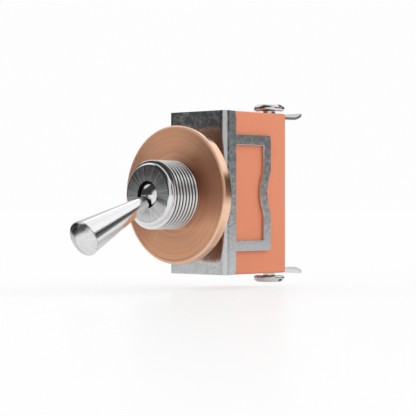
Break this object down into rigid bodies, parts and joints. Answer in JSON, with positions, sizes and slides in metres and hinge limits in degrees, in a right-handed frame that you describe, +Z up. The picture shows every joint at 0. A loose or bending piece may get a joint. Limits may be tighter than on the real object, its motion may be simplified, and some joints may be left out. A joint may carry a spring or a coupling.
{
  "type": "panel toggle switch",
  "caption": "Bat-handle toggle switch with a threaded bush, a round seat disc, a folded steel bracket, a moulded body and two screw terminals.",
  "frame": {"origin": "on the bush's axis at the front face of the round seat disc", "axes": "-Y along the bush towards the lever, +Z up as the body stands in the picture, +X towards the terminals' side"},
  "size_m": [0.0242, 0.0502, 0.032],
  "materials": {
    "galvanised_steel": "mottled zinc",
    "chromed_brass": "polished",
    "copper": "fine concentric brushing",
    "orange_moulding": "matt",
    "fibre_sheet": "matt",
    "black_moulding": "matt",
    "spring_steel": "drawn wire",
    "brass_parts": "plain",
    "silver_contact": "satin",
    "tinned_strip": "tinned",
    "plated_screw": "bright nickel"
  },
  "bodies": {
    "switch_body": {"frame_bracket": "galvanised_steel", "threaded_bush": "chromed_brass", "seat_disc": "copper", "ball_retainer": "brass_parts", "insulating_liner": "fibre_sheet", "housing": "orange_moulding", "actuator_pin": "spring_steel", "rocker_pin": "spring_steel", "fixed_contact": "silver_contact", "line_terminal": "tinned_strip", "common_terminal": "tinned_strip", "line_screw": "plated_screw", "common_screw": "plated_screw", "line_nut": "brass_parts", "common_nut": "brass_parts"},
    "lever": {"lever": "chromed_brass", "lever_pivot_pin": "spring_steel"},
    "actuator": {"actuator": "black_moulding", "plunger": "brass_parts", "plunger_spring": "spring_steel"},
    "rocker": {"rocker_contact": "brass_parts", "moving_contact": "silver_contact"}
  },
  "joints": [
    {"name": "lever_hinge", "type": "hinge", "parent": "switch_body", "child": "lever", "pos_m": [0, -0.0041, 0], "axis": [-1, 0, 0], "range_deg": [0, 46.6]},
    {"name": "actuator_hinge", "type": "hinge", "parent": "switch_body", "child": "actuator", "pos_m": [0, 0.00735, 0], "axis": [1, 0, 0], "range_deg": [0, 36.44]},
    {"name": "rocker_hinge", "type": "hinge", "parent": "switch_body", "child": "rocker", "pos_m": [0, 0.0164, 0], "axis": [-1, 0, 0], "range_deg": [0, 16.01]}
  ],
  "couplings": [
    {"joint": "actuator_hinge", "follows": "lever_hinge", "ratio": 0.7818},
    {"joint": "rocker_hinge", "follows": "lever_hinge", "ratio": 0.34335}
  ]
}
